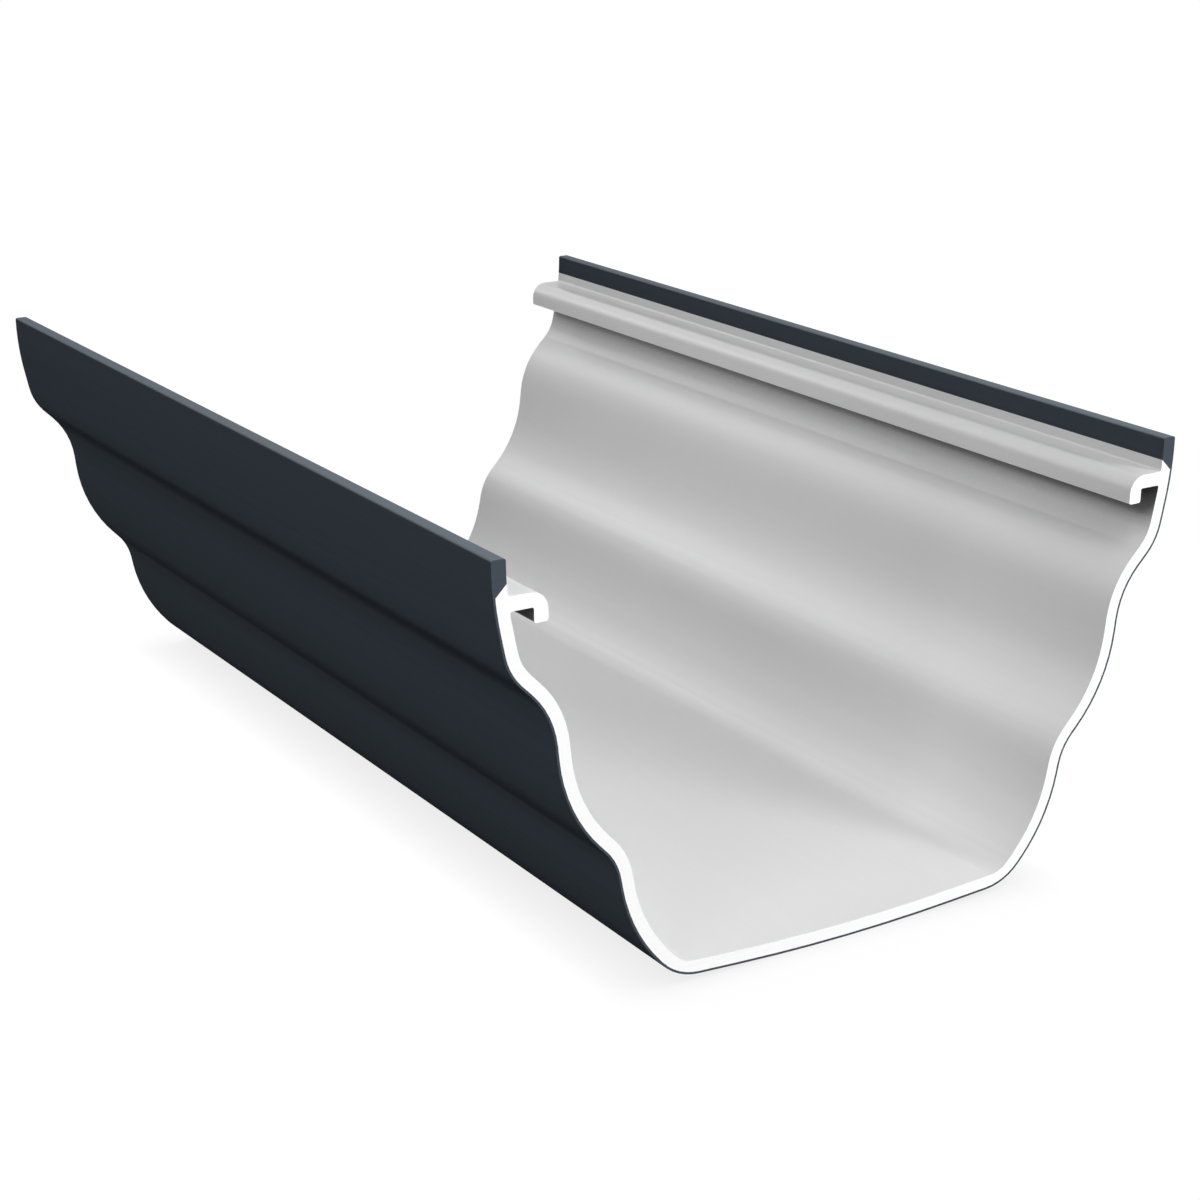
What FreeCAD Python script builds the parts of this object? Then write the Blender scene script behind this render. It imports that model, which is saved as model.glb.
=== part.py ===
import FreeCAD, Part
import math
import os
from collections import namedtuple

from FreeCAD import Vector

# A cut length of moulded eaves gutter: a white wall with a thin anthracite layer on
# its outside, which ends in two solid anthracite rims. Y runs along the gutter, X is
# across it and Z is up. The origin is under the middle of the bottom. Sizes are in mm.

# Overall sizes
LENGTH = 200.0
RIM_WIDTH = 135.0
HEIGHT = 77.0
WALL = 2.5
SKIN = 0.4

# Outer face of one side, from the rim to the foot. Each corner is stepped in from the
# one before it. The first three are that far below the corner before, the next three
# are that far above the corner after, and the middle face takes up the rest.
BROW_DROP = 6.2
BROW_RADIUS = 53.5
SHOULDER_STEP = 2.5
SHOULDER_DROP = 12.1
SHOULDER_RADIUS = 10.5
UPPER_COVE_STEP = 7.7
UPPER_COVE_DROP = 7.7
UPPER_COVE_RADIUS = 15.0
MIDDLE_BELLY_STEP = 1.8
MIDDLE_BELLY_RISE = 9.9
MIDDLE_BELLY_RADIUS = 27.5
LOWER_COVE_STEP = 9.6
LOWER_COVE_RISE = 12.9
LOWER_COVE_RADIUS = 10.0
LOWER_BELLY_STEP = 2.4
LOWER_BELLY_HEIGHT = 11.3
LOWER_BELLY_RADIUS = 29.5
FOOT_STEP = 9.1
FOOT_RADIUS = 10.5
INNER_FOOT_RADIUS = 5.5

# Bottom: a shallow arc between two slopes that rise to the feet
BOTTOM_SLOPE_DEGREES = 3.3
BOTTOM_RADIUS = 388.0

# Solid rims: their depth on the inner face, and the slant that they end in
RIM_DEPTH = 4.0
RIM_SLANT_DEGREES = 45.0
RIM_EDGE_RADIUS = 0.4

# Hooks: a shelf inwards from each wall, and a lip that turns down from it
SHELF_BELOW_RIM = 5.9
SHELF_THICKNESS = 2.4
SHELF_ROOT_RADIUS = 0.4
LIP_REACH = 9.65
LIP_THICKNESS = 2.5
LIP_DROP = 2.5
LIP_TOP_RADIUS = 3.1
LIP_EDGE_RADIUS = 0.45
GROOVE_RADIUS = 0.35

# Straight run that is always left between two roundings
SHORTEST_RUN = 0.2

# Two lengths closer than this are the same
SAME = 1e-6

Corner = namedtuple("Corner", "at radius")


def corner(x, z, radius=0.0):
    return Corner(Vector(x, 0, z), radius)


def outer_side():
    """Corners of the outer face on the +X side, from the rim down to the foot."""
    rim = RIM_WIDTH / 2
    shoulder = rim - SHOULDER_STEP
    upper_cove = shoulder - UPPER_COVE_STEP
    middle_belly = upper_cove - MIDDLE_BELLY_STEP
    lower_cove = middle_belly - LOWER_COVE_STEP
    lower_belly = lower_cove - LOWER_BELLY_STEP
    foot = lower_belly - FOOT_STEP
    brow_height = HEIGHT - BROW_DROP
    shoulder_height = brow_height - SHOULDER_DROP
    upper_cove_height = shoulder_height - UPPER_COVE_DROP
    lower_cove_height = LOWER_BELLY_HEIGHT + LOWER_COVE_RISE
    middle_belly_height = lower_cove_height + MIDDLE_BELLY_RISE
    slope = math.radians(BOTTOM_SLOPE_DEGREES)
    foot_height = foot * math.tan(slope) - bottom_corner_depth()
    return [
        corner(rim, HEIGHT, RIM_EDGE_RADIUS),
        corner(rim, brow_height, BROW_RADIUS),
        corner(shoulder, shoulder_height, SHOULDER_RADIUS),
        corner(upper_cove, upper_cove_height, UPPER_COVE_RADIUS),
        corner(middle_belly, middle_belly_height, MIDDLE_BELLY_RADIUS),
        corner(lower_cove, lower_cove_height, LOWER_COVE_RADIUS),
        corner(lower_belly, LOWER_BELLY_HEIGHT, LOWER_BELLY_RADIUS),
        corner(foot, foot_height, FOOT_RADIUS),
    ]


def bottom_corner_depth():
    """How far the two bottom slopes meet below the arc that rounds them."""
    slope = math.radians(BOTTOM_SLOPE_DEGREES)
    return BOTTOM_RADIUS * (1 / math.cos(slope) - 1)


def mirrored(corners):
    return [corner(-c.at.x, c.at.z, c.radius) for c in corners]


def outer_line():
    """The outer face from the -X rim, round the bottom, to the +X rim."""
    side = outer_side()
    bottom = corner(0, -bottom_corner_depth(), BOTTOM_RADIUS)
    return fitted(mirrored(side) + [bottom] + side[::-1])


def inner_line():
    """The inner face of the wall, parallel to the outer face but for a sharper foot."""
    line = inset(outer_line(), WALL)
    middle = len(line) // 2
    for foot in (middle - 1, middle + 1):
        line[foot] = line[foot]._replace(radius=INNER_FOOT_RADIUS)
    return fitted(line)


def half_turn(before, here, after):
    """Half of the angle by which the line turns at a corner."""
    return (here.at - before.at).getAngle(after.at - here.at) / 2


def fitted(line):
    """The line with no radius larger than the two faces beside it leave room for."""
    reach = [c.radius for c in line]
    for i in range(1, len(line) - 1):
        reach[i] = line[i].radius * math.tan(half_turn(*line[i - 1:i + 2]))
    share = [1.0] * len(line)
    for i in range(len(line) - 1):
        face = (line[i + 1].at - line[i].at).Length - SHORTEST_RUN
        taken = reach[i] + reach[i + 1]
        if taken > face:
            share[i] = min(share[i], face / taken)
            share[i + 1] = min(share[i + 1], face / taken)
    return [c._replace(radius=c.radius * s) for c, s in zip(line, share)]


def inward(start, end):
    """Unit vector from the outer face into the gutter, square to a stretch of the line."""
    along = (end.at - start.at).normalize()
    return Vector(-along.z, 0, along.x)


def inset(line, depth):
    """The line moved inwards by a depth, with each radius changed to stay parallel."""
    first = line[0].at + inward(line[0], line[1]) * depth
    last = line[-1].at + inward(line[-2], line[-1]) * depth
    moved = [line[0]._replace(at=first)]
    for before, here, after in zip(line, line[1:], line[2:]):
        normal_in = inward(before, here)
        normal_out = inward(here, after)
        shift = (normal_in + normal_out) * (depth / (1 + normal_in.dot(normal_out)))
        bulges = (here.at - before.at).dot(normal_out) < 0
        radius = here.radius - depth if bulges else here.radius + depth
        moved.append(Corner(here.at + shift, max(radius, 0)))
    return moved + [line[-1]._replace(at=last)]


def rounded_wire(corners):
    """A closed wire of straight runs, with an arc at each corner that has a radius."""
    ends = []
    for i, here in enumerate(corners):
        before = corners[i - 1]
        after = corners[(i + 1) % len(corners)]
        half = half_turn(before, here, after)
        back = (before.at - here.at).normalize()
        on = (after.at - here.at).normalize()
        if here.radius < SAME or half < SAME:
            ends.append((here.at, None, here.at))
            continue
        reach = here.radius * math.tan(half)
        to_arc = here.radius / math.cos(half) - here.radius
        crown = here.at + (back + on).normalize() * to_arc
        ends.append((here.at + back * reach, crown, here.at + on * reach))
    edges = []
    for i, (start, crown, end) in enumerate(ends):
        run_start = ends[i - 1][2]
        if run_start.distanceToPoint(start) > SAME:
            edges.append(Part.LineSegment(run_start, start).toShape())
        if crown:
            edges.append(Part.Arc(start, crown, end).toShape())
    return Part.Wire(edges)


def extruded(corners):
    """A solid along the whole gutter, with the section that the corners enclose."""
    face = Part.Face(rounded_wire(corners))
    solid = face.extrude(Vector(0, LENGTH, 0))
    solid.translate(Vector(0, -LENGTH / 2, 0))
    return solid


def both_sides(solid):
    return [solid, solid.mirror(Vector(0, 0, 0), Vector(1, 0, 0))]


def hook():
    """The +X shelf and its lip, with the shelf's root taken through the wall."""
    outside = RIM_WIDTH / 2
    top = HEIGHT - SHELF_BELOW_RIM
    under = top - SHELF_THICKNESS
    lip_end = under - LIP_DROP
    lip_face = outside - LIP_REACH
    lip_back = lip_face + LIP_THICKNESS
    return extruded([
        corner(outside, top),
        corner(lip_face, top, LIP_TOP_RADIUS),
        corner(lip_face, lip_end, LIP_EDGE_RADIUS),
        corner(lip_back, lip_end, LIP_EDGE_RADIUS),
        corner(lip_back, under, GROOVE_RADIUS),
        corner(outside, under),
    ])


def root_edges(solid, height):
    """The lengthwise edges at a height that lie furthest out, one on each side."""
    at_height = [
        edge for edge in solid.Edges
        if abs(edge.Length - LENGTH) < SAME
        and all(abs(vertex.Z - height) < SAME for vertex in edge.Vertexes)
    ]
    by_place = sorted(at_height, key=lambda edge: edge.Vertexes[0].X)
    return [by_place[0], by_place[-1]]


def whole_section():
    """Wall, rims and hooks together, as they leave the die."""
    wall = extruded(outer_line() + inner_line()[::-1])
    filled = extruded(outer_line())
    hooks = [filled.common(side) for side in both_sides(hook())]
    section = wall.fuse(hooks).removeSplitter()
    shelf_top = HEIGHT - SHELF_BELOW_RIM
    section = section.makeFillet(SHELF_ROOT_RADIUS, root_edges(section, shelf_top))
    groove_top = shelf_top - SHELF_THICKNESS
    return section.makeFillet(GROOVE_RADIUS, root_edges(section, groove_top))


def rim_zone():
    """The space round the +X rim that is anthracite through the whole wall."""
    slant = math.tan(math.radians(RIM_SLANT_DEGREES))
    inner_face = RIM_WIDTH / 2 - WALL
    base = HEIGHT - RIM_DEPTH
    inside = inner_face - WALL
    outside = inner_face + 2 * WALL
    over = HEIGHT + WALL
    return extruded([
        corner(inside, base + WALL * slant),
        corner(outside, base - 2 * WALL * slant),
        corner(outside, over),
        corner(inside, over),
    ])


def white_zone():
    """Everything inside the anthracite layer and under the rims."""
    return extruded(inset(outer_line(), SKIN)).cut(both_sides(rim_zone()))


def save(solid, node):
    if len(solid.Solids) != 1 or not solid.isValid():
        raise ValueError(node + " is not one sound solid")
    solid.Solids[0].exportStep("parts/" + node + ".step")
    print(node, "volume", round(solid.Volume, 1), "faces", len(solid.Faces))


os.makedirs("parts", exist_ok=True)
section = whole_section()
zone = white_zone()
save(section.common(zone), "white_channel")
save(section.cut(zone), "anthracite_skin")
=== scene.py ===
import math

import bpy
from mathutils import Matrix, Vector


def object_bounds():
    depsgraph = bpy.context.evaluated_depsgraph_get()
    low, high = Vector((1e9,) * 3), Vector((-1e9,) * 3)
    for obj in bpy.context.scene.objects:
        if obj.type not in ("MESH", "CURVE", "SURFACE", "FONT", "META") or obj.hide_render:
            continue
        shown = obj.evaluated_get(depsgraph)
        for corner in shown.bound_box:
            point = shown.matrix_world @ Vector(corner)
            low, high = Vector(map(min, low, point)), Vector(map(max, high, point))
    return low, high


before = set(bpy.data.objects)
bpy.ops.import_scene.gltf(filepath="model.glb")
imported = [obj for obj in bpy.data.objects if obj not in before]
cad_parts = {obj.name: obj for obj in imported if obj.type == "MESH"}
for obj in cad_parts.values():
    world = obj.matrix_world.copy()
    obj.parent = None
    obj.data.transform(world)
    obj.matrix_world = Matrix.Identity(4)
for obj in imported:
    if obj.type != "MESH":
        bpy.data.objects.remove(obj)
cad_low, cad_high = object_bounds()

# Camera: the photograph's viewing angle in degrees, its lens and the width of its film in
# millimetres, and its place in metres
CAMERA_AZIMUTH = -32.07
CAMERA_ELEVATION = 18.30
CAMERA_LENS = 75.1
FILM_WIDTH = 36.0
CAMERA_LEFT_OF_MIDDLE = 0.2372
CAMERA_BEFORE_NEAR_END = 0.3005
CAMERA_HEIGHT = 0.1851

# Floor and background: both look white. The grey is what the floor throws back on the
# object, and the strength is how far the background lights it.
FLOOR_SIZE = 6.0
FLOOR_GREY = 0.05
FLOOR_ROUGHNESS = 0.9
WORLD_STRENGTH = 0.05

# The object's shadow on the floor is soft: how near in metres the object has to be to cast
# it, and how much of the white it takes away
SHADOW_REACH = 0.01
SHADOW_DEPTH = 0.2
SHADOW_SAMPLES = 4

# Soft square lamps. Their place round the object is an azimuth, from 0 at the near end to 90
# at +X, and an elevation, both in degrees. Then come the distance and the side of the lamp
# in metres, and its power in watts.
LAMPS = {
    "front_right": (25, 15, 1.2, 0.3, 9.5),
    "right": (45, 15, 1.2, 0.9, 5.0),
    "high_front": (0, 50, 1.2, 0.9, 4.5),
    "top": (0, 70, 1.2, 0.5, 1.6),
    "front_left": (-60, 25, 1.2, 0.4, 2.6),
    "low_front_left": (-65, 1, 1.2, 0.12, 0.5),
    "low_left": (-90, 1, 1.2, 0.12, 1.9),
    "back_left": (-159, 30, 0.8, 0.25, 0.45),
    "back": (180, 25, 1.2, 0.9, 2.0),
}

# White plastic: the two colours that its streaks lie between, and its gloss
WHITE_DARK = (0.785, 0.785, 0.788)
WHITE_LIGHT = (0.815, 0.815, 0.818)
WHITE_ROUGHNESS = (0.29, 0.36)
WHITE_SPECULAR = 0.72

# Painted shade: the white plastic's colour is slightly darker where it is steep. These are the
# sideways part of the surface normal at which that begins and is complete, and how much of
# the colour is left there
STEEP_SHADE = (0.89, 0.97)
STEEP_SHADE_SHARE = 0.92

# Painted shade: the narrow groove behind each lip is painted dark. These are the heights in
# metres between which it lies, and the run over which the painted shade fades out at each.
GROOVE_BOTTOM = 0.058
GROOVE_BOTTOM_FADE = 0.002
GROOVE_TOP = 0.069
GROOVE_TOP_FADE = 0.0002

# How far off the sides of the groove shade it in metres, how much of its surroundings is
# open where that begins and is complete, and how much of the colour is left there
GROOVE_REACH = 0.006
GROOVE_OPEN = (1.0, 0.78)
GROOVE_SHADE_SHARE = 0.1
GROOVE_SAMPLES = 16

# Anthracite plastic: the two colours that its streaks lie between, and its matt surface
ANTHRACITE_DARK = (0.047, 0.0585, 0.0725)
ANTHRACITE_LIGHT = (0.055, 0.0685, 0.0855)
ANTHRACITE_ROUGHNESS = (0.94, 1.0)
ANTHRACITE_SPECULAR = 0.004

# Its rims are a little smoother on top, and paler there by a painted reflection: the upward
# part of the surface normal at which that begins and is complete, and the colour and the
# roughness there
RIM_UPWARD = (0.3, 0.8)
RIM_TOP_PAINTED_REFLECTION = (0.184, 0.213, 0.244)
RIM_ROUGHNESS = 0.9

# Painted shade: it is painted darker where it faces down. These are the upward part of the
# surface normal at which that begins and is complete, and how much of the colour is left there
UNDERSIDE_SHADE = (-0.52, -0.68)
UNDERSIDE_SHADE_SHARE = 0.5

# Streaks from the die run along the gutter: how many there are to a metre across it and
# along it, and how high they stand in metres
STREAKS_ACROSS = 900.0
STREAKS_ALONG = 4.0
STREAK_HEIGHT = 0.00001

# Saw marks run across the cut ends: the same for them, and the least roughness that a
# sawn surface has
SAW_MARKS_ACROSS = 2600.0
SAW_MARKS_ALONG = 25.0
SAW_MARK_HEIGHT = 0.00003
SAWN_ROUGHNESS = 0.6

# Cut ends: the lengthwise part of the surface normal at which they begin and are complete
CUT_END = (0.9, 0.95)

# Noise behind the streaks and the marks: its finer layers, and where each plastic begins in it
NOISE_DETAIL = 3.0
WHITE_START = 3.0
ANTHRACITE_START = 7.0

BLACK = (0, 0, 0, 1)
WHITE = (1, 1, 1, 1)


def add_camera():
    data = bpy.data.cameras.new("camera")
    data.lens = CAMERA_LENS
    data.sensor_width = FILM_WIDTH
    camera = bpy.data.objects.new("camera", data)
    near_end = cad_low.y
    camera.location = (-CAMERA_LEFT_OF_MIDDLE, near_end - CAMERA_BEFORE_NEAR_END, CAMERA_HEIGHT)
    camera.rotation_euler = (math.radians(90 - CAMERA_ELEVATION), 0, math.radians(CAMERA_AZIMUTH))
    bpy.context.scene.collection.objects.link(camera)
    bpy.context.scene.camera = camera


def add_lamp(name, azimuth, elevation, distance, side, power):
    data = bpy.data.lights.new(name, "AREA")
    data.shape = "SQUARE"
    data.size = side
    data.energy = power
    lamp = bpy.data.objects.new(name, data)
    turn = math.radians(azimuth)
    rise = math.radians(elevation)
    away = Vector((math.sin(turn) * math.cos(rise), -math.cos(turn) * math.cos(rise), math.sin(rise)))
    middle = (cad_low + cad_high) / 2
    lamp.location = middle + away * distance
    lamp.rotation_mode = "QUATERNION"
    lamp.rotation_quaternion = (-away).to_track_quat("-Z", "Y")
    bpy.context.scene.collection.objects.link(lamp)


def add_world():
    world = bpy.data.worlds.new("world")
    bpy.context.scene.world = world
    world.use_nodes = True
    tree = world.node_tree
    background = tree.nodes["Background"]
    background.inputs["Color"].default_value = WHITE
    strength = mapped(tree, seen_directly(tree), (0, 1), (WORLD_STRENGTH, 1))
    tree.links.new(strength, background.inputs["Strength"])


def add_floor():
    half = FLOOR_SIZE / 2
    corners = [(-half, -half, 0), (half, -half, 0), (half, half, 0), (-half, half, 0)]
    mesh = bpy.data.meshes.new("floor")
    mesh.from_pydata(corners, [], [(0, 1, 2, 3)])
    mesh.materials.append(floor_material())
    floor = bpy.data.objects.new("floor", mesh)
    bpy.context.scene.collection.objects.link(floor)


def floor_material():
    """Grey for the light that the floor throws back, and glowing white with a shadow to look at."""
    material = bpy.data.materials.new("floor")
    material.use_nodes = True
    tree = material.node_tree
    shader = tree.nodes["Principled BSDF"]
    shader.inputs["Base Color"].default_value = (FLOOR_GREY, FLOOR_GREY, FLOOR_GREY, 1)
    shader.inputs["Roughness"].default_value = FLOOR_ROUGHNESS
    shadow = mapped(tree, openness(tree, SHADOW_REACH, SHADOW_SAMPLES), (0, 1), (1 - SHADOW_DEPTH, 1))
    glow = tree.nodes.new("ShaderNodeEmission")
    tree.links.new(shadow, glow.inputs["Strength"])
    both = tree.nodes.new("ShaderNodeMixShader")
    tree.links.new(seen_directly(tree), both.inputs["Fac"])
    tree.links.new(shader.outputs["BSDF"], both.inputs[1])
    tree.links.new(glow.outputs["Emission"], both.inputs[2])
    tree.links.new(both.outputs["Shader"], tree.nodes["Material Output"].inputs["Surface"])
    return material


def seen_directly(tree):
    """1 for rays from the camera, a reflection or a refraction, otherwise 0."""
    path = tree.nodes.new("ShaderNodeLightPath")
    seen = path.outputs["Is Camera Ray"]
    for output in ("Is Glossy Ray", "Is Transmission Ray"):
        either = tree.nodes.new("ShaderNodeMath")
        either.operation = "MAXIMUM"
        tree.links.new(seen, either.inputs[0])
        tree.links.new(path.outputs[output], either.inputs[1])
        seen = either.outputs[0]
    return seen


def openness(tree, reach, samples):
    """How much of the surroundings within reach is open, from 0 to 1."""
    around = tree.nodes.new("ShaderNodeAmbientOcclusion")
    around.inputs["Distance"].default_value = reach
    around.samples = samples
    return around.outputs["AO"]


def mapped(tree, value, before, after):
    """A value carried from one range to another, and held at the ends."""
    node = tree.nodes.new("ShaderNodeMapRange")
    node.inputs["From Min"].default_value = before[0]
    node.inputs["From Max"].default_value = before[1]
    node.inputs["To Min"].default_value = after[0]
    node.inputs["To Max"].default_value = after[1]
    tree.links.new(value, node.inputs["Value"])
    return node.outputs["Result"]


def mixed(tree, share, first, second, kind="FLOAT"):
    """The first value where the share is 0, and the second where it is 1."""
    node = tree.nodes.new("ShaderNodeMix")
    node.data_type = kind
    tree.links.new(share, node.inputs["Factor"])
    for value, socket in ((first, "A"), (second, "B")):
        if isinstance(value, bpy.types.NodeSocket):
            tree.links.new(value, node.inputs[socket])
        else:
            node.inputs[socket].default_value = value
    return node.outputs["Result"]


def coordinate(tree, kind, axis):
    """One axis of the surface's place, kind "Object", or of its normal, kind "Normal"."""
    own = tree.nodes.new("ShaderNodeTexCoord")
    split = tree.nodes.new("ShaderNodeSeparateXYZ")
    tree.links.new(own.outputs[kind], split.inputs["Vector"])
    return split.outputs[axis]


def facing(tree, axis):
    """How far the surface faces along an axis of the object, from -1 to 1."""
    return coordinate(tree, "Normal", axis)


def facing_either_way(tree, axis):
    """How far the surface faces along an axis, to either side, from 0 to 1."""
    either_way = tree.nodes.new("ShaderNodeMath")
    either_way.operation = "ABSOLUTE"
    tree.links.new(facing(tree, axis), either_way.inputs[0])
    return either_way.outputs[0]


def drawn_out(tree, scale, start):
    """Noise from 0 to 1, with this many spots to a metre along X, Y and Z."""
    own = tree.nodes.new("ShaderNodeTexCoord")
    stretch = tree.nodes.new("ShaderNodeMapping")
    stretch.inputs["Scale"].default_value = scale
    stretch.inputs["Location"].default_value = (start, start, start)
    noise = tree.nodes.new("ShaderNodeTexNoise")
    noise.inputs["Scale"].default_value = 1.0
    noise.inputs["Detail"].default_value = NOISE_DETAIL
    tree.links.new(own.outputs["Object"], stretch.inputs["Vector"])
    tree.links.new(stretch.outputs["Vector"], noise.inputs["Vector"])
    return noise.outputs["Fac"]


def extruded_plastic(name, dark, light, roughness, specular, start):
    """Plastic with faint lengthwise streaks, and with saw marks on its cut ends."""
    material = bpy.data.materials.new(name)
    material.use_nodes = True
    tree = material.node_tree
    shader = tree.nodes["Principled BSDF"]
    streaks = drawn_out(tree, (STREAKS_ACROSS, STREAKS_ALONG, STREAKS_ACROSS), start)
    marks = drawn_out(tree, (SAW_MARKS_ALONG, SAW_MARKS_ALONG, SAW_MARKS_ACROSS), start)
    cut = mapped(tree, facing_either_way(tree, "Y"), CUT_END, (0, 1))

    colour = mixed(tree, mixed(tree, cut, streaks, marks), (*dark, 1), (*light, 1), "RGBA")
    tree.links.new(colour, shader.inputs["Base Color"])

    sawn_roughness = max(SAWN_ROUGHNESS, roughness[0])
    rough = mixed(tree, cut, mapped(tree, streaks, (0, 1), roughness), sawn_roughness)
    tree.links.new(rough, shader.inputs["Roughness"])
    shader.inputs["Specular IOR Level"].default_value = specular

    # The heights are in metres already, so the bump takes them at their full size
    streak_height = mapped(tree, streaks, (0, 1), (0, STREAK_HEIGHT))
    mark_height = mapped(tree, marks, (0, 1), (0, SAW_MARK_HEIGHT))
    bump = tree.nodes.new("ShaderNodeBump")
    bump.inputs["Distance"].default_value = 1.0
    tree.links.new(mixed(tree, cut, streak_height, mark_height), bump.inputs["Height"])
    tree.links.new(bump.outputs["Normal"], shader.inputs["Normal"])
    return material


def paint_shade(material, share):
    """Paint shade: leave this share of the material's colour, where 1 is all of it."""
    tree = material.node_tree
    base = tree.nodes["Principled BSDF"].inputs["Base Color"]
    full = base.links[0].from_socket
    tree.links.new(mixed(tree, share, BLACK, full, "RGBA"), base)


def painted_groove_shade(tree):
    """Painted shade: how much of the white's colour is left behind and under the lips, and 1
    elsewhere.
    """
    height = coordinate(tree, "Object", "Z")
    above = mapped(tree, height, (GROOVE_TOP, GROOVE_TOP + GROOVE_TOP_FADE), (0, 1))
    below = mapped(tree, height, (GROOVE_BOTTOM, GROOVE_BOTTOM + GROOVE_BOTTOM_FADE), (1, 0))
    shaded = mapped(tree, openness(tree, GROOVE_REACH, GROOVE_SAMPLES), GROOVE_OPEN, (1, GROOVE_SHADE_SHARE))
    return mixed(tree, above, mixed(tree, below, shaded, 1.0), 1.0)


def white_plastic():
    material = extruded_plastic(
        "white_plastic", WHITE_DARK, WHITE_LIGHT, WHITE_ROUGHNESS, WHITE_SPECULAR, WHITE_START)
    tree = material.node_tree
    # Painted shade in the grooves behind the lips
    paint_shade(material, painted_groove_shade(tree))
    # Painted shade on the steep faces
    paint_shade(material, mapped(tree, facing_either_way(tree, "X"), STEEP_SHADE, (1, STEEP_SHADE_SHARE)))
    return material


def anthracite_plastic():
    material = extruded_plastic(
        "anthracite_plastic", ANTHRACITE_DARK, ANTHRACITE_LIGHT,
        ANTHRACITE_ROUGHNESS, ANTHRACITE_SPECULAR, ANTHRACITE_START)
    tree = material.node_tree
    inputs = tree.nodes["Principled BSDF"].inputs
    upward = mapped(tree, facing(tree, "Z"), RIM_UPWARD, (0, 1))
    matt = inputs["Roughness"].links[0].from_socket
    tree.links.new(mixed(tree, upward, matt, RIM_ROUGHNESS), inputs["Roughness"])
    # Painted reflection: the rim tops get a paler colour
    full = inputs["Base Color"].links[0].from_socket
    tree.links.new(mixed(tree, upward, full, (*RIM_TOP_PAINTED_REFLECTION, 1), "RGBA"), inputs["Base Color"])
    # Painted shade where the skin faces down
    paint_shade(material, mapped(tree, facing(tree, "Z"), UNDERSIDE_SHADE, (1, UNDERSIDE_SHADE_SHARE)))
    return material


def dress(node, material):
    """Give the CAD node this material in place of its plain one."""
    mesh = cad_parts[node].data
    mesh.materials.clear()
    mesh.materials.append(material)


bpy.context.scene.view_settings.view_transform = "Standard"
add_camera()
add_world()
add_floor()
for lamp_name, settings in LAMPS.items():
    add_lamp(lamp_name, *settings)
dress("white_channel", white_plastic())
dress("anthracite_skin", anthracite_plastic())
